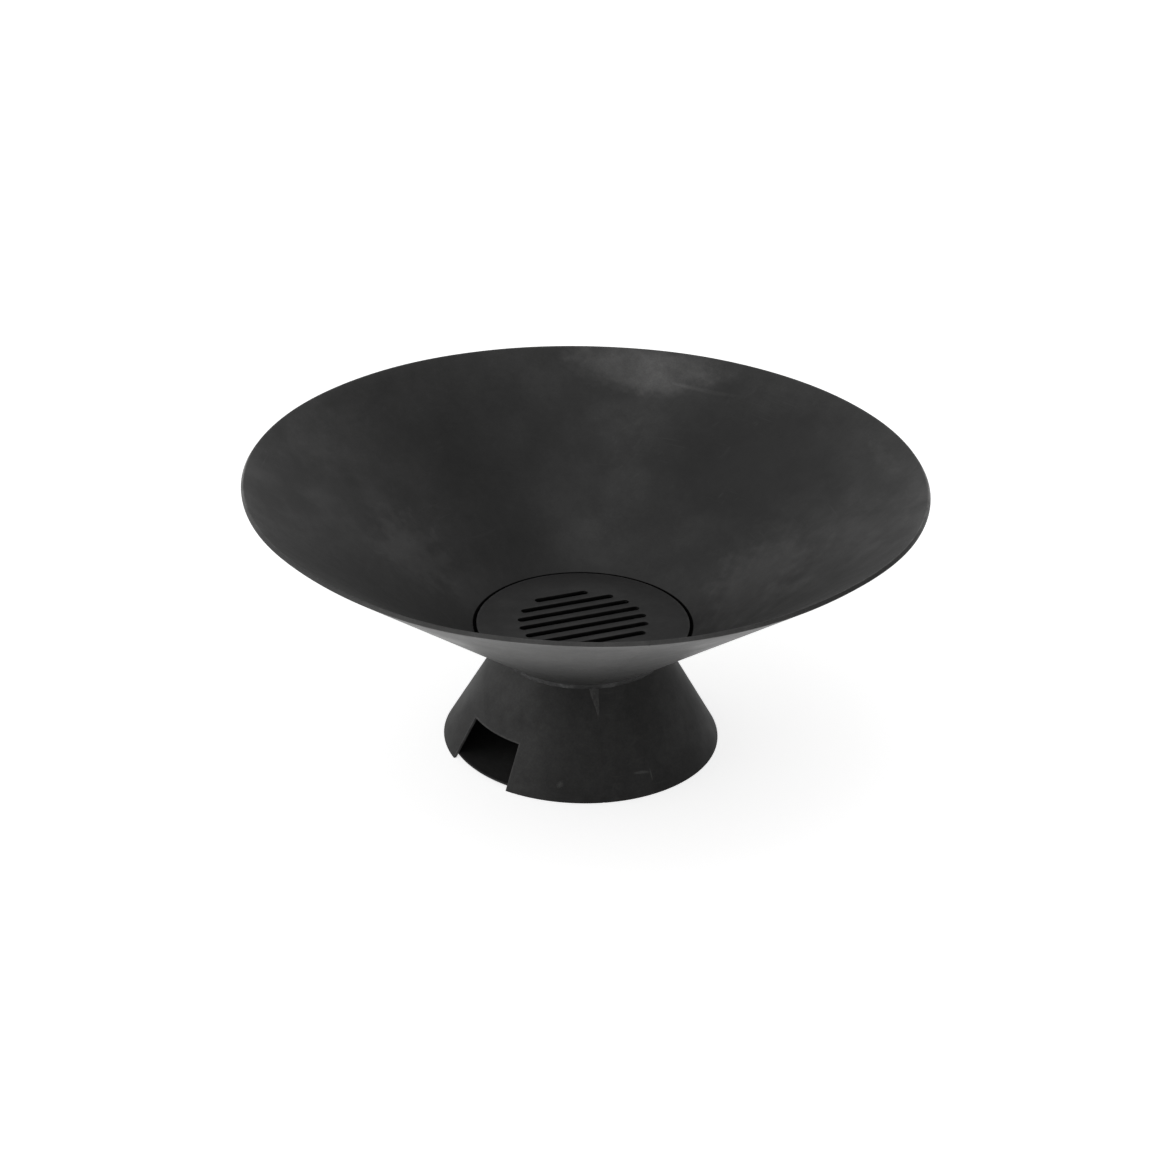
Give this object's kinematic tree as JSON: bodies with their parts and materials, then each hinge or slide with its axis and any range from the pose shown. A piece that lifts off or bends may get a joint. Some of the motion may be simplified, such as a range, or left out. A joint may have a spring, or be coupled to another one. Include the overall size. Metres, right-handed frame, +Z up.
{
  "type": "coal forge",
  "caption": "Pedestal hearth forge: a conical steel bowl welded to a conical hollow foot with an air and ash opening, and a loose slotted grate plate.",
  "frame": {"origin": "on the ground, under the common axis of both cones", "axes": "+Z up along the axis, -Y towards the air and ash opening in the foot"},
  "size_m": [0.7999, 0.7999, 0.3476],
  "materials": {
    "bowl_steel": "hot-rolled sheet, dark mill scale with heat blotches and light scuffs, not brushed",
    "pedestal_steel": "hot-rolled sheet, dark even mill scale, not brushed",
    "grate_steel": "flame-cut plate, dark scale with worn slot edges",
    "floor_steel": "sheet under a dull coat of soot",
    "weld_metal": "rippled weld bead, blackened with the sheet"
  },
  "bodies": {
    "hearth": {"hearth_bowl": "bowl_steel", "bowl_seam_weld": "weld_metal", "pedestal_cone": "pedestal_steel", "pedestal_seam_weld": "weld_metal", "waist_weld": "weld_metal", "floor_plate": "floor_steel", "floor_tack_welds": "weld_metal"},
    "grate": {"grate_plate": "grate_steel"}
  },
  "joints": [
    {"name": "grate_lift", "type": "slide", "parent": "hearth", "child": "grate", "axis": [0, 0, 1], "range_m": [0, 0.22]}
  ]
}
